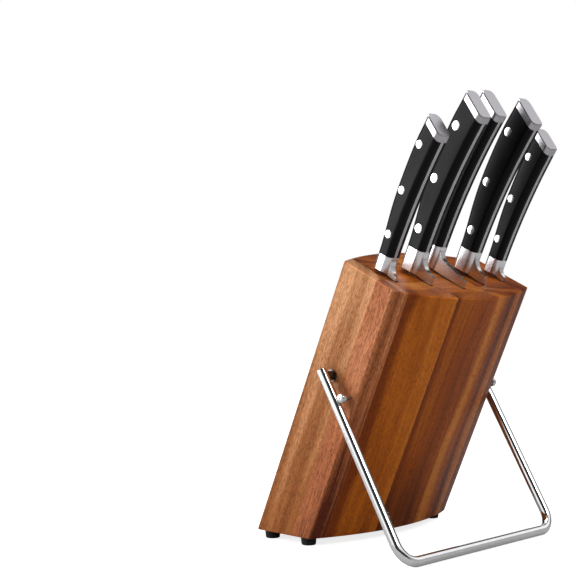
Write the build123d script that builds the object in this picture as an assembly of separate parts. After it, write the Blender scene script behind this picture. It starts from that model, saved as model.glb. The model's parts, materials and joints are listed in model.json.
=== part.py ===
from build123d import *
import math
import os
from dataclasses import dataclass

# A leaning wooden knife block with five forged knives and a wire stand, in millimetres, +Z up.
# X runs across the block from end face to end face. The block leans over its stand, towards -Y,
# so the backs of the blades face +Y and their cutting edges face -Y.
# The origin is on the table, under the middle of the whole object.

# ---- wooden block ------------------------------------------------------------------------------
BLOCK_WIDTH = 150.0        # end face to end face
END_DEPTH = 48.0           # depth of the flat end faces, square to the block's axis
FRONT_BULGE = 16.0         # how far the curved front stands out past the end faces
BACK_BULGE = 15.0          # how far the curved back stands out past the end faces
LEAN = 25.0                # lean of the block's axis from upright, in degrees
LONG_BLADE = 200.0         # longest blade, which sets the length of the block
TIP_COVER = 8.0            # wood beyond the tip of the longest blade
CORNER_ROUND = 1.5         # rounding of the four long edges
ARRIS = 0.8                # rounding round the top and the bottom
LEFT_END_BOARD = 11.0      # width of the narrow board at the left end
SLOT_WALL = 17.0           # end face to the middle of the nearest slot, and the right end board
END_GLUE_DEPTH = 16.0      # joint between the staves of an end board, behind its front edge
LEFT_REAR_STAVE = 8.0      # thickness of the left inner board's rear stave at the end faces
INNER_GLUE_DEPTH = -5.0    # the same for the other inner boards, ahead of the slots

# ---- knives ------------------------------------------------------------------------------------
STOCK = 2.5                # thickness of the blades at the back, and of the tangs
EDGE_THICKNESS = 0.3       # thickness left at the cutting edge
TIP_THICKNESS = 1.0        # thickness of the back at the tip
SLOT_SIDE_GAP = 0.4        # space on each side of a blade in its slot
SLOT_END_GAP = 1.0         # space in front of the edge and behind the back of a blade
HANDLE_THICKNESS = 13.0    # over both scales
BACK_ROUND = 4.5           # rounding of the handles' long edges at the back
FRONT_ROUND = 3.8          # and at the front
BOLSTER_RISE = 3.0         # height over which the bolster widens above its slot
BUTT_SLOPE = 31.5          # slope of the butt towards the cutting edge, in degrees
CAP_THICKNESS = 4.4        # end cap, square to the butt
CAP_BEVEL = 0.6            # bevel round the flat of the end cap
WEB_SLOPE = 0.25           # fall of the web towards the heel
KNEE_SHARE = 0.95          # share of the straight runs that the bend may take up
RIVET_GAP = 0.02           # space round a rivet in its holes
SCALLOP_PITCH = 6.0        # bread knife teeth
SCALLOP_RADIUS = 5.0
SCALLOP_DEPTH = 0.8
SPINE_DEPTH = 34.0         # back of a long slim blade, behind the front edge of the end faces


@dataclass
class Handle:
    length: float          # slot to the top corner of the butt
    bolster: float         # slot to the scales
    knee: float            # largest radius of the bend from the bolster's front into its web
    width: float           # back to front at the bolster
    bow: float             # how far the back arches out
    drop: float            # how far the butt curves forward
    swell: float           # how much the front widens by the butt
    rivet: float           # rivet diameter
    rivet_inset: float     # rivet axis behind the back of the handle


@dataclass
class Knife:
    name: str
    handle: Handle
    blade: float           # blade length
    heel: float            # blade width at the heel
    spine_depth: float     # back of the blade, behind the front edge of the end faces
    heel_height: float     # height of the web at the heel
    straight_back: float   # share of the back that is straight
    straight_edge: float   # share of the edge that is straight
    tip_drop: float        # tip's place in the width, from the back
    toothed: bool = False


LARGE = Handle(132.0, 19.0, 11.5, 15.0, 2.8, 5.3, 13.5, 6.3, 7.2)
SMALL = Handle(113.0, 14.0, 8.5, 12.0, 2.2, 3.0, 9.2, 5.4, 5.6)
KNIVES = [
    Knife("utility_knife", SMALL, 127.0, 19.0, 32.5, 3.0, 0.50, 0.50, 0.45),
    Knife("slicing_knife", LARGE, LONG_BLADE, 27.5, SPINE_DEPTH, 6.0, 0.60, 0.60, 0.45),
    Knife("chef_knife", LARGE, LONG_BLADE, 42.5, 43.5, 5.0, 0.45, 0.30, 0.35),
    Knife("bread_knife", LARGE, LONG_BLADE, 27.5, SPINE_DEPTH, 6.0, 0.80, 0.88, 0.45, True),
    Knife("paring_knife", SMALL, 89.0, 18.0, 28.5, 3.5, 0.50, 0.45, 0.45),
]
RIVET_PLACES = (0.25, 0.525, 0.815)   # along the handle, as shares of its length

# ---- feet --------------------------------------------------------------------------------------
FOOT_HEIGHT = 5.5
FOOT_TOP = 11.4            # diameter against the wood
FOOT_BOTTOM = 10.2         # diameter on the table
FOOT_INSET = 7.0           # foot axis to the end face
FOOT_FRONT_INSET = 7.0     # foot axis to the front bottom edge of the end face, on the level
FOOT_BACK_INSET = 9.0      # foot axis to the back bottom edge
FOOT_SCREW = 3.0           # shank diameter
FOOT_SCREW_HEAD = 6.0
FOOT_SCREW_DEPTH = 12.0    # thread in the wood
FOOT_POCKET = 3.0          # depth of the pocket for the screw's head
HEAD_THICKNESS = 1.8
FASTENER_GAP = 0.02        # space round a screw or a bush in its hole
HEAD_ROOM = 0.3            # space round a sunk screw head

# ---- stand -------------------------------------------------------------------------------------
ROD = 7.0                  # wire diameter
BEND_RADIUS = 14.0         # bends of the wire, to its middle
LEG_GAP = 4.6              # end face to the wire
PIVOT_DEPTH = 26.4         # pivot behind the front edge of the end face, square to the axis
PIVOT_ALONG = 115.7        # pivot above the bottom edge, along the block's axis
STAND_REACH = 69.5         # base of the stand ahead of the pivot, on the level
LEG_OVERRUN = 5.0          # wire beyond the pivot
STUD = 5.0                 # pivot stud diameter
STUD_SHORT = 0.8           # stud short of the bottom of the bush
STUD_RIM = 0.9             # how far the shoulder stands out past the stud
BUSH_WALL = 1.0
BUSH_LENGTH = 12.0
BUSH_RIM = 0.7             # how far the flange stands out past the bush
BUSH_FLANGE_THICKNESS = 1.2
PIVOT_GAP = 0.05           # running clearance of the stud in the bush, on the radius
SHOULDER_GAP = 0.3         # space between the shoulder and the flange
STOP_ALONG_LEG = 20.5      # pivot to the stop screw, measured down the leg
STOP_HEAD = 6.4
STOP_HEAD_THICKNESS = 3.6
STOP_SHANK = 3.2
STOP_SCREW_DEPTH = 13.0
STOP_GAP = 0.1             # space between the wire at rest and the stop's head
STOP_SOCKET = 2.6          # hexagon socket, across its corners

# ---- worked out from the above -----------------------------------------------------------------
LEAN_SIN = math.sin(math.radians(LEAN))
LEAN_COS = math.cos(math.radians(LEAN))
LEAN_TAN = LEAN_SIN / LEAN_COS
HALF_WIDTH = BLOCK_WIDTH / 2
FRONT_LENGTH = LONG_BLADE + TIP_COVER - SPINE_DEPTH * LEAN_TAN
SLOT_PITCH = (BLOCK_WIDTH - 2 * SLOT_WALL) / (len(KNIVES) - 1)
SLOT_WIDTH = STOCK + 2 * SLOT_SIDE_GAP
LEFT_GLUE_DEPTH = END_DEPTH - LEFT_REAR_STAVE
HALF_HANDLE = HANDLE_THICKNESS / 2
BLOCK_REACH = LONG_BLADE + 4 * (END_DEPTH + BACK_BULGE)   # longer than the block, for cutting tools
BLOCK_PLANE = Plane(origin=(0, 0, FOOT_HEIGHT), x_dir=(1, 0, 0), z_dir=(0, -LEAN_SIN, LEAN_COS))

BUSH_BORE = STUD + 2 * PIVOT_GAP
BUSH_OUTER = BUSH_BORE + 2 * BUSH_WALL
BUSH_FLANGE = BUSH_OUTER + 2 * BUSH_RIM
STUD_SHOULDER = STUD + 2 * STUD_RIM   # between the wire and the bush
LEG_X = HALF_WIDTH + LEG_GAP + ROD / 2
PIVOT_Y = PIVOT_DEPTH * LEAN_COS - PIVOT_ALONG * LEAN_SIN
PIVOT_Z = FOOT_HEIGHT + PIVOT_DEPTH * LEAN_SIN + PIVOT_ALONG * LEAN_COS
BASE_Y = PIVOT_Y - STAND_REACH
BASE_Z = ROD / 2
LEG_LENGTH = math.hypot(STAND_REACH, PIVOT_Z - BASE_Z)
LEG_SIN = STAND_REACH / LEG_LENGTH
LEG_COS = (PIVOT_Z - BASE_Z) / LEG_LENGTH
STOP_OFFSET = (ROD + STOP_HEAD) / 2 + STOP_GAP
STOP_Y = PIVOT_Y - STOP_ALONG_LEG * LEG_SIN - STOP_OFFSET * LEG_COS
STOP_Z = PIVOT_Z - STOP_ALONG_LEG * LEG_COS + STOP_OFFSET * LEG_SIN

SIDES = {"left": -1, "right": 1}
TINY = 0.01                # for telling edges and corners apart


def in_block(shape, x=0.0, depth=0.0, along=0.0):
    """Place a shape in the leaning block: across, behind the end faces' front edge, up its axis."""
    return BLOCK_PLANE.location * Pos(x, depth, along) * shape


def facing_out(side, x, y, z):
    """A place whose +Z points out of an end face, on the left (-1) or the right (1)."""
    return Pos(side * x, y, z) * Rot(0, 90 * side, 0)


def column(radius, low, high):
    """A cylinder on the Z axis from one height to another."""
    return Pos(0, 0, (low + high) / 2) * Cylinder(radius, high - low)


# ---- block -------------------------------------------------------------------------------------
def block_blank():
    """The whole block without slots: a lens-shaped plan along a leaning axis, cut off level."""
    front_left, front_right = (-HALF_WIDTH, 0), (HALF_WIDTH, 0)
    back_left, back_right = (-HALF_WIDTH, END_DEPTH), (HALF_WIDTH, END_DEPTH)
    outline = [
        Line(back_left, front_left),
        ThreePointArc(front_left, (0, -FRONT_BULGE), front_right),
        Line(front_right, back_right),
        ThreePointArc(back_right, (0, END_DEPTH + BACK_BULGE), back_left),
    ]
    plan = make_face(Curve() + outline)
    plan = fillet(plan.vertices(), CORNER_ROUND)
    below = 2 * (END_DEPTH + BACK_BULGE) * LEAN_TAN
    tall = extrude(Pos(0, 0, -below) * plan, below + FRONT_LENGTH)
    blank = split(in_block(tall), bisect_by=Plane.XY.offset(FOOT_HEIGHT), keep=Keep.TOP)
    top = blank.faces().sort_by(Axis((0, 0, 0), (0, -LEAN_SIN, LEAN_COS)))[-1]
    bottom = blank.faces().sort_by(Axis.Z)[0]
    return fillet(top.edges() + bottom.edges(), ARRIS)


def slot_x(index):
    return -HALF_WIDTH + SLOT_WALL + index * SLOT_PITCH


def slot_cutter(index, knife):
    """A slot for one blade, open at the top and the bottom of the block."""
    width = knife.heel + 2 * SLOT_END_GAP
    cutter = Box(SLOT_WIDTH, width, 2 * BLOCK_REACH)
    return in_block(cutter, slot_x(index), knife.spine_depth + SLOT_END_GAP - width / 2)


def foot_places():
    back = END_DEPTH / LEAN_COS - FOOT_BACK_INSET
    for end, y in (("front", FOOT_FRONT_INSET), ("back", back)):
        for side, sign in SIDES.items():
            yield f"{end}_{side}", sign * (HALF_WIDTH - FOOT_INSET), y


def drilled_and_slotted(block):
    for index, knife in enumerate(KNIVES):
        block -= slot_cutter(index, knife)
    for side in SIDES.values():
        bush_hole = column(BUSH_OUTER / 2 + FASTENER_GAP, -BUSH_LENGTH, FASTENER_GAP)
        stop_hole = column(STOP_SHANK / 2 + FASTENER_GAP, -STOP_SCREW_DEPTH, FASTENER_GAP)
        block -= facing_out(side, HALF_WIDTH, PIVOT_Y, PIVOT_Z) * bush_hole
        block -= facing_out(side, HALF_WIDTH, STOP_Y, STOP_Z) * stop_hole
    for _, x, y in foot_places():
        hole = column(FOOT_SCREW / 2 + FASTENER_GAP, FOOT_HEIGHT - 1, FOOT_HEIGHT + FOOT_SCREW_DEPTH)
        block -= Pos(x, y, 0) * hole
    return block


def staves(block):
    """Saw the block into its glued staves: five boards across, each a front and a rear stave."""
    left = -HALF_WIDTH + LEFT_END_BOARD
    right = HALF_WIDTH - SLOT_WALL
    inner = (right - left) / 3
    lines = [-BLOCK_WIDTH, left, left + inner, right - inner, right, BLOCK_WIDTH]
    names = ["left_end", "left", "middle", "right", "right_end"]
    depths = [END_GLUE_DEPTH, LEFT_GLUE_DEPTH, INNER_GLUE_DEPTH, INNER_GLUE_DEPTH, END_GLUE_DEPTH]
    for name, low, high, depth in zip(names, lines, lines[1:], depths):
        board = block & in_block(Box(high - low, BLOCK_REACH, 2 * BLOCK_REACH), (low + high) / 2)
        cut = Plane(in_block(Pos(0, depth, 0) * Rot(-90, 0, 0) * Rectangle(1, 1)).faces()[0])
        yield f"{name}_board_front", split(board, bisect_by=cut, keep=Keep.BOTTOM)
        yield f"{name}_board_rear", split(board, bisect_by=cut, keep=Keep.TOP)


# ---- knives: X is the thickness, -Y the cutting edge, +Z up the handle, origin at the slot -------
def back_line(handle, z):
    """Where the back of the handle runs, at a height above the slot."""
    u = max(0.0, (z - handle.bolster) / (handle.length - handle.bolster))
    return handle.bow * math.sin(math.pi * min(u, 1.0)) - handle.drop * u ** 3


def front_line(handle, z):
    """Where the front of the handle runs, at a height above the slot."""
    u = max(0.0, (z - handle.bolster) / (handle.length - handle.bolster))
    return -handle.width - handle.swell * u ** 2


def handle_blank(handle):
    """Bolster, scales, tang and cap in one, still too long at the butt."""
    span = handle.length - handle.bolster
    over = handle.length + 2 * CAP_THICKNESS
    shares = (0.3, 0.5, 0.7, 0.85, 1.0)
    heights = [handle.bolster + share * span for share in shares]
    back_points = [(0, handle.bolster)] + [(back_line(handle, z), z) for z in heights]
    front_points = [(-handle.width, handle.bolster)] + [(front_line(handle, z), z) for z in heights]
    back_end = (back_line(handle, over), over)
    outline = [
        Line((0, 0), back_points[0]),
        Spline(*back_points, back_end, tangents=((0, 1), (-0.35, 1))),
        Line(back_end, front_points[-1]),
        Spline(*front_points, tangents=((0, 1), (-0.25, 1))),
        Line(front_points[0], (-handle.width, 0)),
        Line((-handle.width, 0), (0, 0)),
    ]
    side = Plane.YZ * make_face(Curve() + outline)
    blank = extrude(side, HALF_HANDLE, both=True)
    blank = fillet(long_edges(blank, handle, front=False), BACK_ROUND)
    return fillet(long_edges(blank, handle, front=True), FRONT_ROUND)


def long_edges(blank, handle, front):
    """The edges that run up the flat sides of a handle, at its front or at its back."""
    found = []
    for edge in blank.edges():
        middle = edge.center()
        upright = abs((edge @ 1 - edge @ 0).normalized().Z) > 0.9
        on_side = abs(abs(middle.X) - HALF_HANDLE) < TINY
        halfway = (back_line(handle, middle.Z) + front_line(handle, middle.Z)) / 2
        if upright and on_side and (middle.Y < halfway) == front:
            found.append(edge)
    return found


def butt_plane(handle):
    slope = math.radians(BUTT_SLOPE)
    corner = (0, back_line(handle, handle.length), handle.length)
    return Plane(origin=corner, x_dir=(1, 0, 0), z_dir=(0, -math.sin(slope), math.cos(slope)))


def bolster_web(knife):
    """The web that narrows from the bolster down to the heel of the blade."""
    handle = knife.handle
    inside = FRONT_ROUND + 1.0 - handle.width
    knee = knife.heel_height + WEB_SLOPE * (knife.heel - handle.width)
    corners = [
        (inside, 0), (inside, handle.bolster), (-handle.width, handle.bolster),
        (-handle.width, knee), (-knife.heel, knife.heel_height), (-knife.heel, 0),
    ]
    side = make_face(Polyline(*corners, close=True))
    bend = [v for v in side.vertices() if abs(v.X + handle.width) < TINY and abs(v.Y - knee) < TINY]
    side = Plane.YZ * fillet(bend, knee_radius(knife, knee))
    root, thin = HALF_HANDLE - FRONT_ROUND, STOCK / 2 + 0.1
    reach = knife.heel - handle.width
    middle = (thin + 0.25 * (root - thin), -handle.width - 0.45 * reach)
    half = [
        Line((0, inside), (root, inside)),
        Line((root, inside), (root, -handle.width)),
        ThreePointArc((root, -handle.width), middle, (thin, -knife.heel)),
        Line((thin, -knife.heel), (0, -knife.heel)),
    ]
    plan = make_face(Curve() + half + [mirror(curve, Plane.YZ) for curve in half])
    return extrude(side, HALF_HANDLE, both=True) & extrude(plan, handle.bolster)


def knee_radius(knife, knee):
    """The radius of the bend, held to what the straight runs beside it have room for."""
    turn = math.pi / 2 - math.atan(WEB_SLOPE)
    web = math.hypot(1, WEB_SLOPE) * (knife.heel - knife.handle.width)
    room = min(knife.handle.bolster - knee, web)
    return min(knife.handle.knee, KNEE_SHARE * room / math.tan(turn / 2))


def bolster_base(handle):
    """What is kept of the bolster: it widens from the blade in a hollow sweep."""
    thin = STOCK / 2
    middle = (thin + 0.3 * (HALF_HANDLE - thin), 0.65 * BOLSTER_RISE)
    top = 2 * handle.length
    half = [
        ThreePointArc((thin, 0), middle, (HALF_HANDLE, BOLSTER_RISE)),
        Line((HALF_HANDLE, BOLSTER_RISE), (HALF_HANDLE, top)),
        Line((HALF_HANDLE, top), (0, top)),
        Line((0, 0), (thin, 0)),
    ]
    front = make_face(Curve() + half + [mirror(curve, Plane.YZ) for curve in half])
    return extrude(Plane.XZ * front, handle.length, both=True)


def blade_body(knife):
    """A blade ground to a wedge from its back to its edge, and thinner towards the tip."""
    back_end = -knife.straight_back * knife.blade
    edge_end = -knife.straight_edge * knife.blade
    tip = (-knife.tip_drop * knife.heel, -knife.blade)
    root = 1.0
    outline = [
        Line((0, root), (0, back_end)),
        Spline((0, back_end), tip, tangents=((0, -1), (-1, -2.2))),
        Spline(tip, (-knife.heel, edge_end), tangents=((-1, 1.6), (0, 1))),
        Line((-knife.heel, edge_end), (-knife.heel, 0)),
        Line((-knife.heel, 0), (-knife.heel + root, root)),
        Line((-knife.heel + root, root), (0, root)),
    ]
    side = make_face(Curve() + outline)
    if knife.toothed:
        side -= scallops(knife, edge_end)
    wedge = Polyline(
        (-STOCK / 2, 0), (STOCK / 2, 0),
        (EDGE_THICKNESS / 2, -knife.heel), (-EDGE_THICKNESS / 2, -knife.heel), close=True,
    )
    taper = Polyline(
        (-STOCK / 2, root), (STOCK / 2, root),
        (TIP_THICKNESS / 2, -knife.blade), (-TIP_THICKNESS / 2, -knife.blade), close=True,
    )
    body = extrude(Plane.YZ * side, STOCK, both=True)
    body &= extrude(make_face(wedge), knife.blade + root, both=True)
    return body & extrude(Plane.XZ * make_face(taper), knife.heel, both=True)


def scallops(knife, edge_end):
    """Round bites along the edge of a bread knife."""
    count = int((-edge_end - SCALLOP_PITCH) / SCALLOP_PITCH)
    centre = -knife.heel - SCALLOP_RADIUS + SCALLOP_DEPTH
    bite = Circle(SCALLOP_RADIUS)
    return [Pos(centre, -(step + 1.5) * SCALLOP_PITCH) * bite for step in range(count)]


def knife_parts(knife):
    """Forged blade with bolster and tang, two scales, three rivets and the end cap."""
    handle = knife.handle
    blank = split(handle_blank(handle), bisect_by=butt_plane(handle), keep=Keep.BOTTOM)
    joint = butt_plane(handle).offset(-CAP_THICKNESS)
    cap = split(blank, bisect_by=joint, keep=Keep.TOP)
    flat = cap.faces().sort_by(Axis((0, 0, 0), joint.z_dir))[-1]
    cap = chamfer(flat.edges(), CAP_BEVEL)
    rest = split(blank, bisect_by=joint, keep=Keep.BOTTOM)
    grip_height = handle.length - handle.bolster
    scale_width = HALF_HANDLE - STOCK / 2
    offset = (HALF_HANDLE + STOCK / 2) / 2
    grip = Pos(0, 0, handle.bolster + grip_height / 2) * Box(scale_width, 4 * handle.length, grip_height)
    left_scale = rest & Pos(-offset, 0, 0) * grip
    right_scale = rest & Pos(offset, 0, 0) * grip
    core = rest - Pos(-offset, 0, 0) * grip - Pos(offset, 0, 0) * grip
    core = (core + bolster_web(knife)) & bolster_base(handle)
    core += blade_body(knife)
    rivets = []
    for share in RIVET_PLACES:
        z = share * handle.length
        place = Pos(0, back_line(handle, z) - handle.rivet_inset, z) * Rot(0, 90, 0)
        hole = place * Cylinder(handle.rivet / 2 + RIVET_GAP, 2 * HANDLE_THICKNESS)
        core -= hole
        left_scale -= hole
        right_scale -= hole
        rivets.append(place * Cylinder(handle.rivet / 2, HANDLE_THICKNESS))
    yield f"{knife.name}_blade", core
    yield f"{knife.name}_scale_left", left_scale
    yield f"{knife.name}_scale_right", right_scale
    yield f"{knife.name}_rivets", Compound(rivets)
    yield f"{knife.name}_end_cap", cap


# ---- feet --------------------------------------------------------------------------------------
def foot():
    shape = Pos(0, 0, FOOT_HEIGHT / 2) * Cone(FOOT_BOTTOM / 2, FOOT_TOP / 2, FOOT_HEIGHT)
    shape -= column(FOOT_SCREW_HEAD / 2 + HEAD_ROOM, -1, FOOT_POCKET)
    shape -= column(FOOT_SCREW / 2 + FASTENER_GAP, 0, FOOT_HEIGHT + 1)
    return shape


def foot_screw():
    top = FOOT_HEIGHT + FOOT_SCREW_DEPTH
    point = FOOT_SCREW
    shank = column(FOOT_SCREW / 2, FOOT_POCKET, top - point)
    tip = Pos(0, 0, top - point / 2) * Cone(FOOT_SCREW / 2, FOOT_SCREW / 10, point)
    head = column(FOOT_SCREW_HEAD / 2, FOOT_POCKET - HEAD_THICKNESS, FOOT_POCKET)
    return head + shank + tip


# ---- stand -------------------------------------------------------------------------------------
def stand_rod():
    """The wire, bent to a U: two legs and the base that lies on the table."""
    top = LEG_LENGTH + LEG_OVERRUN
    path = FilletPolyline((-LEG_X, top), (-LEG_X, 0), (LEG_X, 0), (LEG_X, top), radius=BEND_RADIUS)
    plane = Plane(origin=(0, BASE_Y, BASE_Z), x_dir=(1, 0, 0), z_dir=(0, -LEG_COS, LEG_SIN))
    wire = plane * path
    start = Plane(origin=wire @ 0, z_dir=wire % 0)
    rod = sweep(start * Circle(ROD / 2), path=wire)
    ends = [face for face in rod.faces() if face.geom_type == GeomType.PLANE]
    return chamfer([edge for face in ends for edge in face.edges()], ROD / 12)


def pivot_stud(side, rod):
    """A stud with a shoulder, saddled to the inner side of the wire."""
    flange_top = BUSH_FLANGE_THICKNESS
    stud = column(STUD / 2, STUD_SHORT - BUSH_LENGTH, flange_top + SHOULDER_GAP)
    stud += column(STUD_SHOULDER / 2, flange_top + SHOULDER_GAP, LEG_GAP + ROD / 2)
    stud = facing_out(side, HALF_WIDTH, PIVOT_Y, PIVOT_Z) * stud
    return (stud - rod).solids().sort_by(SortBy.VOLUME)[-1]


def pivot_bush(side):
    bush = column(BUSH_OUTER / 2, -BUSH_LENGTH, 0) + column(BUSH_FLANGE / 2, 0, BUSH_FLANGE_THICKNESS)
    bush -= column(BUSH_BORE / 2, -BUSH_LENGTH - 1, BUSH_FLANGE_THICKNESS + 1)
    return facing_out(side, HALF_WIDTH, PIVOT_Y, PIVOT_Z) * bush


def stop_screw(side):
    """A wood screw whose round head is what the wire rests against."""
    middle = LEG_GAP + ROD / 2
    low, high = middle - STOP_HEAD_THICKNESS / 2, middle + STOP_HEAD_THICKNESS / 2
    point = STOP_SHANK
    head = column(STOP_HEAD / 2, low, high)
    head = fillet(head.edges().sort_by(Axis.Z)[-1:], STOP_HEAD_THICKNESS / 4)
    head -= extrude(Pos(0, 0, middle) * RegularPolygon(STOP_SOCKET / 2, 6), STOP_HEAD_THICKNESS)
    shank = column(STOP_SHANK / 2, point - STOP_SCREW_DEPTH, low)
    tip = Pos(0, 0, point / 2 - STOP_SCREW_DEPTH) * Cone(STOP_SHANK / 10, STOP_SHANK / 2, point)
    return facing_out(side, HALF_WIDTH, STOP_Y, STOP_Z) * (head + shank + tip)


# ---- assembly ----------------------------------------------------------------------------------
def all_nodes():
    nodes = dict(staves(drilled_and_slotted(block_blank())))
    for index, knife in enumerate(KNIVES):
        for name, shape in knife_parts(knife):
            nodes[name] = in_block(shape, slot_x(index), knife.spine_depth, FRONT_LENGTH)
    for name, x, y in foot_places():
        nodes[f"foot_{name}"] = Pos(x, y, 0) * foot()
    nodes["foot_screws"] = Compound([Pos(x, y, 0) * foot_screw() for _, x, y in foot_places()])
    rod = stand_rod()
    nodes["stand_rod"] = rod
    for name, side in SIDES.items():
        nodes[f"pivot_stud_{name}"] = pivot_stud(side, rod)
        nodes[f"pivot_bush_{name}"] = pivot_bush(side)
        nodes[f"stop_screw_{name}"] = stop_screw(side)
    return nodes


def centred(nodes):
    """Move everything so that the origin is under the middle of the object."""
    box = Compound(list(nodes.values())).bounding_box()
    shift = Pos(-(box.min.X + box.max.X) / 2, -(box.min.Y + box.max.Y) / 2, 0)
    print("moved along Y by", round(shift.position.Y, 4))
    return {name: shift * shape for name, shape in nodes.items()}


os.makedirs("parts", exist_ok=True)
NODES = centred(all_nodes())
for node_name, node_shape in NODES.items():
    export_step(node_shape, f"parts/{node_name}.step")
print("nodes", len(NODES))
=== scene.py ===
# %% [markdown]
# # A knife block with its knives
#
# The block is glued up from oiled acacia staves, leans on a wire stand, and holds five forged
# knives. The shapes that have to fit or move come ready made, one object for each real piece.
# This lesson gives them their finishes, models the small parts that deserve more care, and
# sets up a simple product studio round them.

# %% Load the model
import bpy
import json
import math
from mathutils import Matrix, Vector


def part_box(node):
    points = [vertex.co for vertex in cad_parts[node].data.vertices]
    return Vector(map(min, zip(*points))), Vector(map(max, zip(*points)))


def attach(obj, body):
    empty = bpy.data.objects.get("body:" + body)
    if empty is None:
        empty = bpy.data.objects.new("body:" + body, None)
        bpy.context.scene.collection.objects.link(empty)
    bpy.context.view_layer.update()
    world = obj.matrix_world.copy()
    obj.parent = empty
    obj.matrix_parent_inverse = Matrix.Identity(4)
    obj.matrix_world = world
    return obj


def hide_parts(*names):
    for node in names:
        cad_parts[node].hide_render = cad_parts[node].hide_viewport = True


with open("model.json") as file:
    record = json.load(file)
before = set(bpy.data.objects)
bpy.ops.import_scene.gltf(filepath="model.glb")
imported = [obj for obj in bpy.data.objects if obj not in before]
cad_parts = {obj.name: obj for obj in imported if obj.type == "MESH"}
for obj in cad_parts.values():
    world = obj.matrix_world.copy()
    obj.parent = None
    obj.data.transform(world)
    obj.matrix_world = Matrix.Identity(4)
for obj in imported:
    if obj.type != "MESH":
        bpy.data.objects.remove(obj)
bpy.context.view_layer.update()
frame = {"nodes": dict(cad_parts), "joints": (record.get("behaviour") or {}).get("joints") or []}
nodes = frame["nodes"]
print("pieces loaded:", len(nodes))

# %% [markdown]
# ## Finding our way round the object
#
# The knives slide along one slanted axis, which is also the axis of the block and the way the
# wood grain runs. The model gives that axis with each sliding joint, so nothing here has to be
# measured by eye. A place along it is the dot product of a point with the axis.

# %% The slanted axis
MILLIMETRES = 1000
slides = {joint["child"]: joint for joint in frame["joints"] if joint["type"] == "slide"}
AXIS = Vector(slides["chef_knife"]["axis"]).normalized()
LEAN = math.atan2(-AXIS.y, AXIS.z)
KNIFE_NAMES = list(slides)
STAVES = [name for name in nodes if "_board_" in name]


def reach_along(name):
    """The lowest and highest place of a node along the slanted axis."""
    places = [vertex.co.dot(AXIS) for vertex in nodes[name].data.vertices]
    return min(places), max(places)


BLOCK_TOP = max(reach_along(name)[1] for name in STAVES)
print("lean in degrees:", round(math.degrees(LEAN), 2))

# %% [markdown]
# ## Writing shader maths as sums
#
# A procedural finish is mostly arithmetic: scale a noise, add it to a colour, cut off what is
# too low. Built by hand, each step is a Math node and two wires. The small class below wraps
# the output of a node, so that `1 - mask * 0.5` adds those nodes by itself.

# %% Values that can be added and multiplied
class Value:
    """The output of a shader node, usable in sums."""

    def __init__(self, wiring, socket):
        self.wiring = wiring
        self.socket = socket

    def sum(self, operation, *terms):
        """The value that a Math node gives for its terms, which are values or numbers."""
        return self.wiring.node("ShaderNodeMath", dict(enumerate(terms)), operation=operation)

    def __add__(self, other):
        return self.sum("ADD", self, other)

    def __sub__(self, other):
        return self.sum("SUBTRACT", self, other)

    def __mul__(self, other):
        return self.sum("MULTIPLY", self, other)

    def __truediv__(self, other):
        return self.sum("DIVIDE", self, other)

    def __pow__(self, other):
        return self.sum("POWER", self, other)

    def __rsub__(self, other):
        return self.sum("SUBTRACT", other, self)

    def __abs__(self):
        return self.sum("ABSOLUTE", self)

    __radd__ = __add__
    __rmul__ = __mul__


# %% [markdown]
# Everything that isn't plain arithmetic comes from one method, `node`, which sets a node's
# options first and then fills its sockets. It works on any node tree, so the same class wires
# the materials and, later, the light of the room.

# %% A node tree to wire
class Wiring:
    """A node tree, with one way to add a node and a few short names for common ones."""

    def __init__(self, tree):
        self.tree = tree

    def node(self, kind, inputs=(), out=0, stops=None, **options):
        """A node of any kind, with its options set, then its inputs filled or linked."""
        made = self.tree.nodes.new(kind)
        for key, option in options.items():
            setattr(made, key, option)
        if stops:
            elements = made.color_ramp.elements
            while len(elements) < len(stops):
                elements.new(1)
            for element, (place, shade) in zip(elements, stops):
                element.position = place
                element.color = (*shade, 1)
        for key, given in dict(inputs).items():
            if isinstance(given, Value):
                self.tree.links.new(given.socket, made.inputs[key])
            else:
                made.inputs[key].default_value = given
        return Value(self, made.outputs[out])

    def parts(self, vector):
        """The three numbers of a vector, each as a value."""
        first = self.node("ShaderNodeSeparateXYZ", {0: vector})
        return [Value(self, output) for output in first.socket.node.outputs]

    def stretched(self, place, scale):
        """A place with each of its directions scaled by itself."""
        return self.node("ShaderNodeVectorMath", {0: place, 1: scale}, operation="MULTIPLY")

    def noise(self, place, scale=1.0, detail=2.0, rough=0.5):
        given = {"Vector": place, "Scale": scale, "Detail": detail, "Roughness": rough}
        return self.node("ShaderNodeTexNoise", given)

    def between(self, value, low, high, to_low=0.0, to_high=1.0):
        """A value carried from one range to another, smoothly, and held at its ends."""
        given = {"Value": value, 1: low, 2: high, 3: to_low, 4: to_high}
        return self.node("ShaderNodeMapRange", given, interpolation_type="SMOOTHSTEP")

    def near(self, value, place, width):
        """One where the value is at the place, falling to nothing at the width."""
        return self.between(abs(value - place), width, 0)

    def blend(self, share, first, second, mode="MIX"):
        """One colour laid over another by a share."""
        given = {0: share, 6: first, 7: second}
        return self.node("ShaderNodeMix", given, out=2, data_type="RGBA", blend_type=mode)

    def ramp(self, value, *stops):
        return self.node("ShaderNodeValToRGB", {0: value}, stops=stops)

    def grey(self, value):
        return self.node("ShaderNodeCombineXYZ", {0: value, 1: value, 2: value})


# %% [markdown]
# A finish is the wiring of one material. Numbers that are the same all over the surface go
# straight onto the shader's own sockets when the finish is made, and only what varies is wired.

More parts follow.
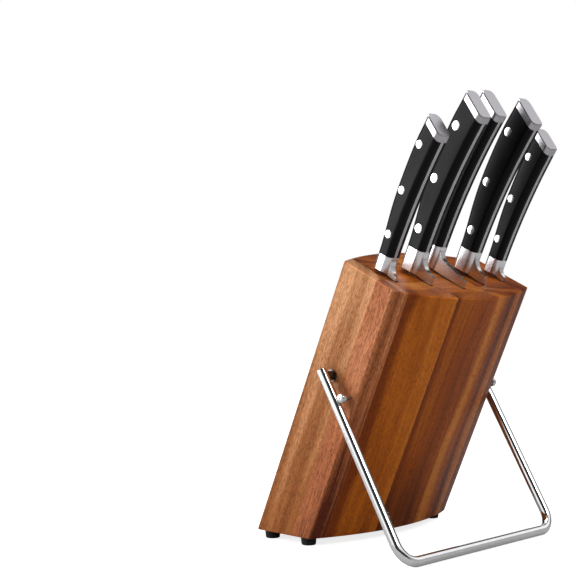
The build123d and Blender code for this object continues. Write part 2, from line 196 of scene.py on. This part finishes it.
# %% A finish
class Finish(Wiring):
    """A material under construction, with its Principled shader ready to use."""

    def __init__(self, name, **fixed):
        self.material = bpy.data.materials.new(name)
        self.material.use_nodes = True
        super().__init__(self.material.node_tree)
        self.shader = self.tree.nodes["Principled BSDF"]
        for key, setting in fixed.items():
            self.shader.inputs[key.replace("_", " ")].default_value = setting

    def place(self, lean=0.0):
        """Where a point of the object is, in millimetres, with the block's lean taken out."""
        seen = self.node("ShaderNodeTexCoord", out="Object")
        given = {"Vector": seen, "Scale": (MILLIMETRES,) * 3, "Rotation": (-lean, 0, 0)}
        return self.node("ShaderNodeMapping", given)

    def use(self, **links):
        """Wire values to the shader's sockets, named with underscores for spaces."""
        for key, value in links.items():
            self.tree.links.new(value.socket, self.shader.inputs[key.replace("_", " ")])

    def bump(self, height, depth, strength=1.0):
        given = {"Height": height, "Distance": depth, "Strength": strength}
        self.use(Normal=self.node("ShaderNodeBump", given))


def paint(names, finish):
    """Give some of the model's pieces a finish in place of what they came with."""
    for name in names:
        nodes[name].data.materials.clear()
        nodes[name].data.materials.append(finish.material)


def colour(red, green, blue):
    """A colour as read off a swatch, 0 to 255, in the linear values that shaders use."""
    shades = (shade / 255 for shade in (red, green, blue))
    return tuple(s / 12.92 if s <= 0.04045 else ((s + 0.055) / 1.055) ** 2.4 for s in shades)


# %% [markdown]
# ## Acacia
#
# Acacia is a showy wood. Each stave was cut from another board, so each has a tone of its own:
# golden, red brown or nearly chocolate, with darker growth rings, fine fibres and open pores
# that show as short dashes on a long face and as dots on a sawn end.
#
# All of that exists in space, so the pattern is made in three dimensions and the faces simply
# cut through it. Rings are distances from the heart of the tree, a line parallel to the axis
# of the block. Fibres and pores are noise, squeezed across the grain and drawn out along it.
# The same material then shows straight grain on the sides and true end grain on the top.
#
# Three things come on top of the figure. Broad streaks are named for each stave, by their place, their
# half width and how much they darken; most are the boards' own figure and sapwood, but those along the
# height of the two left end staves are painted light, paler near the top and darker low down. All the
# wood is also painted darker towards the bottom of the block, a painted shade where the light falls
# off. And the oil darkens the sawn ends, while a narrow band round the top edges is painted paler, a
# painted highlight on the rounded arris.

# %% A stave's wood
TOP = BLOCK_TOP * MILLIMETRES


def acacia(name, tones, heart, ring, seed, pores, streaks):
    """Wood cut from one board. Heart, ring spacing and streaks are in millimetres."""
    wood = Finish(name, Specular_IOR_Level=0.12)
    grain = wood.place(LEAN)
    across, deep, along = wood.parts(grain)
    inside = wood.node("ShaderNodeVectorMath", {0: grain, 1: (0, 0, seed * 331.0)}, operation="ADD")
    wander = wood.noise(wood.stretched(inside, (0.016, 0.016, 0.0045)), detail=1.0) - 0.5
    drift = wood.noise(wood.stretched(inside, (0.07, 0.07, 0.012)), detail=2.0) - 0.5
    bent = [across + wander * 24 + drift * 5, deep + wander * 16 - drift * 4, along, across]
    radius = ((bent[0] - heart[0]) ** 2 + (bent[1] - heart[1]) ** 2) ** 0.5
    given = {"W": radius / ring + seed * 7.3, "Scale": 1.0, "Detail": 3.0, "Roughness": 0.6}
    rings = wood.node("ShaderNodeTexNoise", given, noise_dimensions="1D")
    fibres = wood.noise(wood.stretched(inside, (0.9, 0.9, 0.016)), detail=3.0, rough=0.6) - 0.5
    threads = wood.noise(wood.stretched(inside, (2.4, 2.4, 0.12)), detail=2.0) - 0.5
    clouds = wood.noise(wood.stretched(inside, (0.035, 0.035, 0.009)), detail=2.0) - 0.5
    tone = wood.between(rings, 0.28, 0.72, 0.22, 0.78) + fibres * 0.55 + clouds * 0.7
    for side, start, width, amount in streaks:
        tone = tone - wood.near(bent[side], start, width) * amount
    # Painted shade: every stave is darker towards the bottom of the block, where the light falls off.
    tone = tone - wood.between(along, TOP - 60, TOP - 280, 0, 0.12)
    tint = wood.ramp(tone, *zip((0.0, 0.5, 1.0), tones))
    crowd = wood.noise(wood.stretched(inside, (0.1, 0.1, 0.02)), detail=1.0) - 0.5
    dashes = wood.noise(wood.stretched(inside, (1.7, 1.7, 0.36)), detail=1.5)
    pore = wood.between(dashes + crowd * 0.12, 0.52, 0.66)
    flecks = wood.between(dashes - crowd * 0.12, 0.46, 0.3)
    sawn = wood.between(along, TOP - 0.35, TOP - 0.2)
    # A narrow band just under the top is painted paler: a painted highlight along the rounded top
    # edges.
    painted_arris_highlight = wood.between(along, TOP - 1.3, TOP - 0.7) * (1 - sawn)
    shade = 1 - pore * (0.3 * pores) + flecks * (0.25 * pores) + threads * 0.25
    shade = shade * (1 - sawn * 0.04) + painted_arris_highlight * 0.3
    wood.use(Base_Color=wood.blend(1.0, tint, wood.grey(shade), "MULTIPLY"))
    wood.use(Roughness=0.44 + fibres * 0.2 + pore * 0.2 - sawn * 0.08)
    wood.bump(fibres * 0.35 + threads * 0.3 - pore * pores, 0.00016, 0.8)
    return wood


# %% [markdown]
# A cut says which tones a board has, where the heart of its tree lay, how far apart the rings
# are, which part of the noise it is cut from, and how open its pores are. The tones run from the
# dark lines of the board to its pale wood.
#
# A streak says which way it is measured, its place, its half width, and how much it darkens; a
# negative one is paler. Measured across the block or deeper into it, it follows the bends of
# the grain. Measured straight across, it follows a glue line, and it can also lie along the grain.

# %% The ten staves
ACROSS, DEEP_IN, ALONG, STRAIGHT = range(4)
GOLD = (colour(118, 50, 2), colour(176, 92, 16), colour(208, 134, 56))
BROWN = (colour(78, 30, 1), colour(142, 66, 6), colour(184, 108, 34))
DEEP = (colour(64, 22, 4), colour(114, 50, 12), colour(154, 86, 36))
PINK = (colour(88, 34, 12), colour(172, 100, 58), colour(210, 146, 104))
TAN = (colour(124, 64, 16), colour(150, 90, 42), colour(202, 142, 96))
CUTS = {
    "left_end_board_front": (PINK, (-220, 60), 9.0, 1, 1.2),
    "left_end_board_rear": (TAN, (-160, 150), 12.0, 2, 1.0),
    "left_board_front": (GOLD, (-50, 260), 11.0, 3, 1.0),
    "left_board_rear": (BROWN, (-30, 200), 8.0, 4, 1.0),
    "middle_board_front": (BROWN, (60, -160), 9.0, 5, 1.0),
    "middle_board_rear": (GOLD, (-10, -90), 8.0, 6, 0.7),
    "right_board_front": (BROWN, (90, 190), 10.0, 7, 1.0),
    "right_board_rear": (BROWN, (70, 230), 10.0, 8, 0.8),
    "right_end_board_front": (DEEP, (160, 90), 9.0, 9, 1.0),
    "right_end_board_rear": (BROWN, (230, 60), 10.0, 10, 1.0),
}
STREAKS = {
    # On the two left end staves the streaks along the height are painted light: paler near the top,
    # darker low down, as the light falls off.
    "left_end_board_front": [(STRAIGHT, -69, 8.5, 0.5), (ALONG, TOP - 40, 120, -0.25)],
    "left_end_board_rear": [(ALONG, TOP, 110, -0.3), (ALONG, TOP - 260, 170, 0.3)],
    "left_board_front": [(ACROSS, -60, 9, 0.4), (ACROSS, -38, 5, 0.15)],
    "middle_board_front": [(ACROSS, -20, 5, 0.3), (ALONG, TOP - 190, 90, 0.25)],
    "middle_board_rear": [(DEEP_IN, -4.2, 2.4, -0.8)],
    "right_board_front": [(ACROSS, 26, 9, -0.25), (ACROSS, 46, 8, 0.3), (STRAIGHT, 57.4, 0.9, -0.8)],
    "right_board_rear": [(DEEP_IN, -4.4, 2.2, -0.7)],
}
for name, cut in CUTS.items():
    paint([name], acacia(name + "_wood", *cut, STREAKS.get(name, [])))
print("staves finished:", len(CUTS))

# %% [markdown]
# ## Steel
#
# The blades, bolsters and tangs are one forging. Above the slot the sides are polished to a soft shine.
# The tang's narrow edges keep the slanting marks of the belt that ground them flush with the scales;
# their colour is painted darker, a painted shade, and their two corners are painted brighter, a painted
# highlight along each.
# The blade below the slot is satin, with grinding lines across it.

# %% Forged steel
def steel(name, tang_from, middle, half):
    """A forging whose tang starts at a height, with its middle and half thickness across."""
    forged = Finish(name, Metallic=1.0)
    place = forged.place(LEAN)
    across, _, up = forged.parts(place)
    height = up - TOP
    # The tang's two corners, which get a painted highlight.
    painted_corner_highlights = forged.near(across, middle - half, 0.5) + forged.near(across, middle + half, 0.5)
    tang = forged.between(height, tang_from - 1, tang_from + 1)
    blade = forged.between(height, 0.5, -0.5)
    belt = forged.place(LEAN + math.radians(35))
    marks = forged.noise(forged.stretched(belt, (0.2, 0.2, 1.6)), detail=2.0) - 0.5
    lines = forged.noise(forged.stretched(place, (0.05, 0.05, 3.5)), detail=2.0, rough=0.7) - 0.5
    haze = forged.noise(place, 0.05, 2.0) - 0.5
    # The tang is painted darker, a painted shade, and its corners brighter, a painted highlight; the
    # haze and belt marks are the steel's own.
    bright = 0.7 + haze * 0.06 - tang * 0.3 + tang * painted_corner_highlights * 0.3 + tang * marks * 0.3
    bright = bright + blade * (lines * 0.18 + 0.05)
    forged.use(Base_Color=forged.blend(1.0, forged.grey(bright), (0.98, 0.97, 1.0, 1), "MULTIPLY"))
    forged.use(Roughness=0.24 + haze * 0.06 + tang * 0.16 + blade * 0.14)
    forged.bump(marks * tang + lines * blade, 0.00002, 0.4)
    return forged


def scale_bottom(knife):
    """Where the scales start above the slot, in millimetres."""
    return (reach_along(knife + "_scale_left")[0] - BLOCK_TOP) * MILLIMETRES


def tang_middle(knife):
    """Where the tang's middle lies across the block, and half its thickness, in millimetres."""
    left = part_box(knife + "_scale_left")[1][0]
    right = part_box(knife + "_scale_right")[0][0]
    return (left + right) / 2 * MILLIMETRES, (right - left) / 2 * MILLIMETRES


for knife in KNIFE_NAMES:
    paint([knife + "_blade"], steel(knife + "_steel", scale_bottom(knife), *tang_middle(knife)))
print("blades finished:", len(KNIFE_NAMES))

# %% [markdown]
# ## Handle plastic
#
# The scales are black moulded plastic, sanded with the tang and buffed to a dull satin. It is
# never an even black: the buffing leaves broad patches that shine a little more, and the skin
# has a fine grain that only shows in the highlights.

# %% Handle plastic
def handle_plastic():
    plastic = Finish("handle_plastic", Specular_IOR_Level=0.1)
    place = plastic.place(LEAN)
    mottle = plastic.noise(plastic.stretched(place, (0.08, 0.08, 0.03)), detail=3.0)
    skin = plastic.noise(place, 2.6, 2.0) - 0.5
    black = plastic.ramp(mottle, (0.3, colour(4, 4, 6)), (0.7, colour(9, 9, 13)))
    plastic.use(Base_Color=black)
    plastic.use(Roughness=plastic.between(mottle, 0.3, 0.7, 0.36, 0.44) + skin * 0.06)
    plastic.bump(skin, 0.00002, 0.4)
    return plastic


SCALES = [name for name in nodes if "_scale_" in name]
paint(SCALES, handle_plastic())
print("scales finished:", len(SCALES))

# %% [markdown]
# ## Small metal parts
#
# One function makes the plain metals. They differ in tint and in how well they were polished:
# the wire is bright chrome, the end caps are satin, the screws are duller nickel, and the bush
# that the stand turns in is dark oiled steel. Slow haze and fine wear change the roughness.

# %% Plain metals
def metal(name, tint, rough, wear=0.2):
    """A plain metal whose roughness drifts by a share of itself, its wear."""
    plain = Finish(name, Metallic=1.0)
    place = plain.place(LEAN)
    haze = plain.noise(place, 0.12, 3.0)
    fine = plain.noise(plain.stretched(place, (0.5, 0.5, 3.0)), detail=2.0) - 0.5
    dim = tuple(part * 0.94 for part in tint)
    plain.use(Base_Color=plain.ramp(haze, (0.35, dim), (0.65, tint)))
    hazy = plain.between(haze, 0.3, 0.7, rough * (1 - wear), rough * (1 + wear))
    plain.use(Roughness=hazy + fine * rough * wear)
    return plain


def named(ending="", start=""):
    """The model's pieces whose names start or end in a given way."""
    return [name for name in nodes if name.startswith(start) and name.endswith(ending)]


paint(["stand_rod"], metal("chrome", (0.78, 0.78, 0.79), 0.025))
paint(named(start="stop_screw_"), metal("nickel", (0.56, 0.56, 0.55), 0.2))
paint(named(start="pivot_"), metal("oiled_steel", (0.14, 0.13, 0.125), 0.3))
paint(named("_rivets"), metal("rivet_steel", (0.74, 0.74, 0.75), 0.22))
paint(named("_end_cap"), metal("cap_steel", (0.42, 0.405, 0.43), 0.3, 0.1))
paint(["foot_screws"], metal("zinc", (0.62, 0.62, 0.58), 0.3))
print("finishes in use:", sum(1 for finish in bpy.data.materials if finish.users))

# %% [markdown]
# ## Rubber
#
# The feet are black rubber. What tells rubber from plastic is that it hardly shines: a high
# roughness, a little dust in the base colour, and a fine uneven skin do it.

# %% Rubber
def rubber():
    soft = Finish("foot_rubber", Specular_IOR_Level=0.25)
    place = soft.place()
    dust = soft.noise(place, 0.6, 3.0)
    soft.use(Base_Color=soft.ramp(dust, (0.3, colour(14, 13, 13)), (0.75, colour(30, 29, 28))))
    soft.use(Roughness=soft.between(dust, 0.3, 0.7, 0.6, 0.8))
    soft.bump(soft.noise(place, 2.5, 3.0), 0.00006, 0.6)
    return soft


FEET = [name for name in named(start="foot_") if name != "foot_screws"]
paint(FEET, rubber())
print("feet finished:", len(FEET))

# %% [markdown]
# ## Turned pieces
#
# The rivets, feet and screws are all round, as if turned on a lathe. A Screw modifier or a spin
# could make them, but one disc is enough: it is extruded upwards and resized again and again,
# which walks its rim along the outline of the piece. The outline is a short list of radius and
# height, in metres, and a rounded edge is worked out as an arc.

# %% The lathe
def turned(name, outline, sides=48):
    """A round piece along Z, walked from one disc along an outline of (radius, height)."""
    radius, height = outline[0]
    bpy.ops.object.select_all(action="DESELECT")
    bpy.ops.mesh.primitive_circle_add(vertices=sides, radius=radius, fill_type="NGON")
    piece = bpy.context.object
    piece.name = name
    bpy.ops.object.mode_set(mode="EDIT")
    bpy.ops.transform.translate(value=(0, 0, height))
    for next_radius, next_height in outline[1:]:
        rise = {"value": (0, 0, next_height - height)}
        bpy.ops.mesh.extrude_region_move(TRANSFORM_OT_translate=rise)
        share = next_radius / radius
        bpy.ops.transform.resize(value=(share, share, 1))
        radius, height = next_radius, next_height
    bpy.ops.mesh.select_all(action="SELECT")
    bpy.ops.mesh.normals_make_consistent(inside=False)
    bpy.ops.object.mode_set(mode="OBJECT")
    bpy.ops.object.shade_smooth_by_angle(angle=math.radians(35))
    return piece


def rounded(radius, height, corner, turn_from, turn_to, steps=4):
    """Places on an arc round a centre line's corner, with angles in degrees from outwards."""
    for step in range(steps + 1):
        angle = math.radians(turn_from + (turn_to - turn_from) * step / steps)
        yield radius + corner * math.cos(angle), height + corner * math.sin(angle)


# %% [markdown]
# A piece that repeats is turned once, at the origin. Each copy gets a mesh of its own, and the
# place goes into the mesh, so that the object itself stays at the origin like the model's own
# pieces. The copies of one kind on one knife are joined, because the model counts them as one.

# %% Copies in their places
def copies(pattern, name, places):
    """One object made of copies of a pattern, one at each place, which is a matrix."""
    made = []
    for place in places:
        copy = pattern.copy()
        copy.data = pattern.data.copy()
        copy.data.transform(place)
        bpy.context.scene.collection.objects.link(copy)
        made.append(copy)
    bpy.ops.object.select_all(action="DESELECT")
    for copy in made:
        copy.select_set(True)
    bpy.context.view_layer.objects.active = made[0]
    if len(made) > 1:
        bpy.ops.object.join()
    made[0].name = name
    return made[0]


def finish_copies(pattern, name, places, node, body):
    """Set out a pattern's copies in place of a node of the model."""
    piece = copies(pattern, name, places)
    bpy.data.objects.remove(pattern)
    piece.data.materials.append(nodes[node].data.materials[0])
    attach(piece, body)
    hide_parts(node)


def clusters(name, gap=0.004):
    """The corners of each separate lump of a node, parted where the axis shows a gap."""
    places = sorted((vertex.co for vertex in nodes[name].data.vertices), key=AXIS.dot)
    lumps = [[places[0]]]
    for before, after in zip(places, places[1:]):
        if (after - before).dot(AXIS) > gap:
            lumps.append([])
        lumps[-1].append(after)
    for lump in lumps:
        low = Vector(min(point[i] for point in lump) for i in range(3))
        high = Vector(max(point[i] for point in lump) for i in range(3))
        yield low, high


# %% [markdown]
# ## Rivets
#
# The handle rivets are solid steel pins, peened and then polished into a low dome at each end.
# A flat end would catch the light all at once or not at all. A dome always shows a bright spot
# with a darker rim, and its edge lies a little under the plastic, which gives it a fine shadow.

# %% Rivets
DOME = 0.00025
SINK = 0.00015


def rivet(radius, half_length):
    """A pin with a low dome at each end, turned about the middle of its length."""
    rings = [0.2, 0.4, 0.6, 0.8, 0.93, 1.0]
    top = [(radius * share, half_length - SINK + DOME * (1 - share ** 2)) for share in rings]
    return turned("rivet_pattern", [(r, -h) for r, h in top] + top[::-1], sides=32)


for knife in KNIFE_NAMES:
    lumps = list(clusters(knife + "_rivets"))
    low, high = lumps[0]
    pattern = rivet((high.z - low.z) / 2, (high.x - low.x) / 2)
    across = Matrix.Rotation(math.pi / 2, 4, "Y")
    places = [Matrix.Translation((low + high) / 2) @ across for low, high in lumps]
    finish_copies(pattern, knife + "_domed_rivets", places, knife + "_rivets", knife)
    print(knife, "rivets:", len(lumps))

# %% [markdown]
# ## Feet
#
# Each foot is a moulded rubber cone, widest against the wood, with a rolled lower edge, a
# shallow groove round its side and a pocket underneath that sinks the screw's head. All of it
# is one outline, walked from the wood down the outside and up again into the pocket.

# %% Rubber feet
POCKET = 0.0033
POCKET_DEPTH = 0.003
SCREW_HOLE = 0.00152
LIP = 0.0007
TOP_EDGE = 0.0003
GROOVE = [(0.0042, 0), (0.0040, 0.0003), (0.0036, 0.0003), (0.0034, 0)]


def foot(name, low, high):
    """A foot turned at the origin, and where its middle is on the table."""
    points = [vertex.co for vertex in nodes[name].data.vertices]
    middle = (low + high) / 2
    bottom = [Vector((p.x, p.y)) for p in points if p.z < low.z + 0.0001]
    spread = max((point - middle.xy).length for point in bottom)
    top, height = (high.x - low.x) / 2, high.z - low.z

    def side(z):
        return spread + (top - spread) * z / height

    rim = [(top - TOP_EDGE, height), (side(height - TOP_EDGE), height - TOP_EDGE)]
    groove = [(side(z) - sink, z) for z, sink in GROOVE]
    lip = rounded(side(0) - LIP, LIP, LIP, 0, -90)
    pocket = [(POCKET, 0), (POCKET, POCKET_DEPTH), (SCREW_HOLE, POCKET_DEPTH), (SCREW_HOLE, height)]
    return turned("foot_pattern", [*rim, *groove, *lip, *pocket]), middle.xy


for name in FEET:
    low, high = (Vector(corner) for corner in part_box(name))
    pattern, middle = foot(name, low, high)
    place = Matrix.Translation((middle.x, middle.y, 0))
    finish_copies(pattern, name + "_moulded", [place], name, "block")
print("feet moulded:", len(FEET))

# %% [markdown]
# ## Screws
#
# Two round-headed screws in the end faces stop the legs of the stand, and a pan-headed screw
# holds each foot. Their threads are rings here: side on, inside the wood, a true helix would look
# the same and cost far more. The heads are rounded, and each gets a recess for a driver, cut
# by two crossed boxes that a Boolean modifier takes away.

# %% Threads and recesses
def thread(core, crest, start, end, pitch):
    """Outline points of a threaded stretch, from one height to a higher one."""
    turns = int((end - start) / pitch)
    for turn in range(turns):
        height = start + turn * pitch
        yield from ((core, height), (crest, height + pitch * 0.4), (core, height + pitch * 0.8))


def carve(piece, size, height):
    """Cut a cross-shaped recess of a size, (long, wide, deep), centred at a height."""
    long, wide, deep = size
    for scale in (long, wide, deep), (wide, long, deep):
        bpy.ops.object.select_all(action="DESELECT")
        bpy.ops.mesh.primitive_cube_add(size=1, location=(0, 0, height), scale=scale)
        cutter = bpy.context.object
        cut = piece.modifiers.new("recess", "BOOLEAN")
        cut.operation = "DIFFERENCE"
        cut.object = cutter
        bpy.context.view_layer.objects.active = piece
        bpy.ops.object.modifier_apply(modifier=cut.name)
        bpy.data.objects.remove(cutter)


# %% [markdown]
# The stop screw's outline runs from its point, through the thread and the plain neck that widens
# a little under the head, and over the rounded head. The neck is what shows beside the leg.

# %% Stop screws
SHANK = 0.0016
PITCH = 0.0012
POINT = 0.0032
IN_WOOD = 0.013
HEAD_DEPTH = 0.0036
HEAD_EDGE = 0.0009
UNDER_EDGE = 0.0003
STOP_RECESS = (0.0016, 0.0005, 0.0012)


def stop_screw(length, head):
    """A stop screw turned with the top of its head at the origin, pointing down."""
    wood = IN_WOOD - length
    crests = thread(SHANK * 0.75, SHANK, POINT - length, wood - 0.001, PITCH)
    neck = [(SHANK, wood), (SHANK * 1.35, -HEAD_DEPTH), (head - UNDER_EDGE, -HEAD_DEPTH)]
    over = rounded(head - HEAD_EDGE, -HEAD_EDGE, HEAD_EDGE, 0, 80)
    shaft = [(SHANK * 0.2, -length), *crests, *neck, (head, UNDER_EDGE - HEAD_DEPTH)]
    made = turned("stop_screw_pattern", [*shaft, *over, (head * 0.3, 0.0001)])
    carve(made, STOP_RECESS, 0.0)
    return made


for side, quarter in ("left", -math.pi / 2), ("right", math.pi / 2):
    node = "stop_screw_" + side
    low, high = (Vector(corner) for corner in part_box(node))
    pattern = stop_screw(high.x - low.x, (high.z - low.z) / 2)
    outer = low.x if side == "left" else high.x
    place = Matrix.Translation((outer, (low.y + high.y) / 2, (low.z + high.z) / 2))
    place = place @ Matrix.Rotation(quarter, 4, "Y")
    finish_copies(pattern, node + "_turned", [place], node, "block")
    print(node, "is turned, mm long:", round((high.x - low.x) * MILLIMETRES, 1))

# %% [markdown]
# The foot screws go in from below, so their outline starts at the rim of the head, down in the
# foot's pocket, and climbs to the point. One is turned and set out under each foot.

# %% Foot screws
HEAD = 0.003
HEAD_ROUND = 0.0006
HEAD_BOTTOM = 0.0012
HEAD_TOP = 0.003
SMOOTH_NECK = 0.0022
CORE = 0.0011
CREST = 0.0015
CONE = 0.003
FOOT_RECESS = (0.0032, 0.0006, 0.0018)

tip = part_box("foot_screws")[1][2]
pan = [(0.0012, HEAD_BOTTOM), *rounded(HEAD - HEAD_ROUND, HEAD_BOTTOM + HEAD_ROUND, HEAD_ROUND, -90, 0)]
neck = [(HEAD, HEAD_TOP), (CREST, HEAD_TOP), (CREST, HEAD_TOP + SMOOTH_NECK)]
body = thread(CORE, CREST, HEAD_TOP + SMOOTH_NECK + 0.0003, tip - CONE, PITCH)
pattern = turned("foot_screw_pattern", [*pan, *neck, *body, (CORE, tip - CONE), (0.0002, tip)])
carve(pattern, FOOT_RECESS, HEAD_BOTTOM)
places = []
for name in FEET:
    low, high = (Vector(corner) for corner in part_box(name))
    places.append(Matrix.Translation(((low.x + high.x) / 2, (low.y + high.y) / 2, 0)))
finish_copies(pattern, "foot_screws_turned", places, "foot_screws", "block")
print("foot screws turned:", len(places))

# %% [markdown]
# ## The camera
#
# The camera stands low and level, on the corner between the front and the end of the block,
# with a long lens, so upright edges stay upright.

# %% The camera
VIEW_YAW = math.radians(44.0)
VIEW_PITCH = math.radians(-0.35)
VIEW_ROLL = math.radians(-0.74)
STAND_POINT = Vector((-0.6951, -0.5972, 0.1871))
camera = bpy.data.objects.new("camera", bpy.data.cameras.new("camera"))
bpy.context.scene.collection.objects.link(camera)
camera.data.sensor_width = 36.0
camera.data.lens = 78.65
camera.data.clip_end = 50
level = Matrix.Rotation(-VIEW_YAW, 4, "Z") @ Matrix.Rotation(math.pi / 2 + VIEW_PITCH, 4, "X")
camera.matrix_world = Matrix.Translation(STAND_POINT) @ level @ Matrix.Rotation(VIEW_ROLL, 4, "Z")
bpy.context.scene.camera = camera
VIEW = Vector((math.sin(VIEW_YAW), math.cos(VIEW_YAW), 0))
SIDE = Vector((math.cos(VIEW_YAW), -math.sin(VIEW_YAW), 0))
print("camera to block, metres:", round(STAND_POINT.length, 2))

# %% [markdown]
# ## The studio
#
# Steel and chrome show what is round them more than what they are, so the room matters. It is a
# tent of white cloth: a bright wall on the left, a greyer one on the right, a ceiling, a back
# wall, and open and dark round the camera. One more white panel hangs high on the right, which
# gives the polished wire its second bright line, with the dark of the open side between them.
# The tent is the world's light, worked out from the direction that is looked in.

# %% The room
world = bpy.data.worlds.new("studio")
bpy.context.scene.world = world
world.use_nodes = True
bpy.context.scene.view_settings.view_transform = "Standard"
room = Wiring(world.node_tree)
looking = room.node("ShaderNodeTexCoord", out="Generated")
along_side, along_view = (
    room.node("ShaderNodeVectorMath", {0: looking, 1: way}, out="Value", operation="DOT_PRODUCT")
    for way in (SIDE, VIEW)
)
upwards = room.parts(looking)[2]
left_wall = room.between(along_side, -0.45, -0.6) * room.between(along_view, 0.5, 0.4) * 1.2
right_wall = room.between(along_side, 0.85, 0.95) * 0.45
sides_of_panel = room.between(along_side, 0.38, 0.5) * room.between(along_view, 0.75, 0.6)
panel = sides_of_panel * room.between(upwards, 0.35, 0.5) * room.between(upwards, 0.88, 0.8) * 1.1
ceiling = room.between(upwards, 0.9, 0.97) * 0.6
back_wall = room.between(along_view, 0.9, 0.95) * 0.7
tent = 0.045 + left_wall + right_wall + panel + ceiling + back_wall
camera_ray = room.node("ShaderNodeLightPath", out="Is Camera Ray")
strength = room.node("ShaderNodeMix", {0: camera_ray, 2: tent, 3: 1.0})
room.tree.links.new(strength.socket, room.tree.nodes["Background"].inputs["Strength"])
room.tree.nodes["Background"].inputs["Color"].default_value = (1, 1, 1, 1)


def softbox(name, place, aim, size, power):
    """A rectangular lamp at a place, turned to shine at another."""
    light = bpy.data.objects.new(name, bpy.data.lights.new(name, "AREA"))
    bpy.context.scene.collection.objects.link(light)
    light.data.shape = "RECTANGLE"
    light.data.size, light.data.size_y = size
    light.data.energy = power
    light.location = place
    light.rotation_mode = "QUATERNION"
    light.rotation_quaternion = (Vector(aim) - Vector(place)).to_track_quat("-Z", "Y")


MIDDLE = Vector((0, 0, 0.16))
softbox("left_box", MIDDLE - SIDE * 1.3 + Vector((0, 0, 0.35)), MIDDLE, (0.6, 1.1), 14)
softbox("front_box", MIDDLE - VIEW * 0.8 + SIDE * 1.05 + Vector((0, 0, 1.1)), MIDDLE, (0.6, 0.6), 11)
softbox("top_box", MIDDLE + VIEW * 0.3 + Vector((0, 0, 1.4)), MIDDLE, (1.0, 1.0), 11)

# %% [markdown]
# The floor is a wide disc of white paper. It glows a little to the camera alone, so that it
# meets the white background without a line, and the steel still sees it as grey.

# %% The floor
bpy.ops.object.select_all(action="DESELECT")
bpy.ops.mesh.primitive_circle_add(vertices=96, radius=6.0, fill_type="NGON", location=(0, 0, 0))
floor = bpy.context.object
floor.name = "floor"
paper = Finish("paper", Roughness=0.9, Specular_IOR_Level=0.1, Emission_Strength=1.0)
fibre = paper.noise(paper.place(), 0.003)
paper.use(Base_Color=paper.ramp(fibre, (0.0, (0.5, 0.5, 0.5)), (1.0, (0.54, 0.54, 0.54))))
glow = paper.node("ShaderNodeLightPath", out="Is Camera Ray") * 0.8
paper.use(Emission_Color=paper.grey(glow))
floor.data.materials.append(paper.material)
print("floor, metres across:", round(floor.dimensions.x, 1))
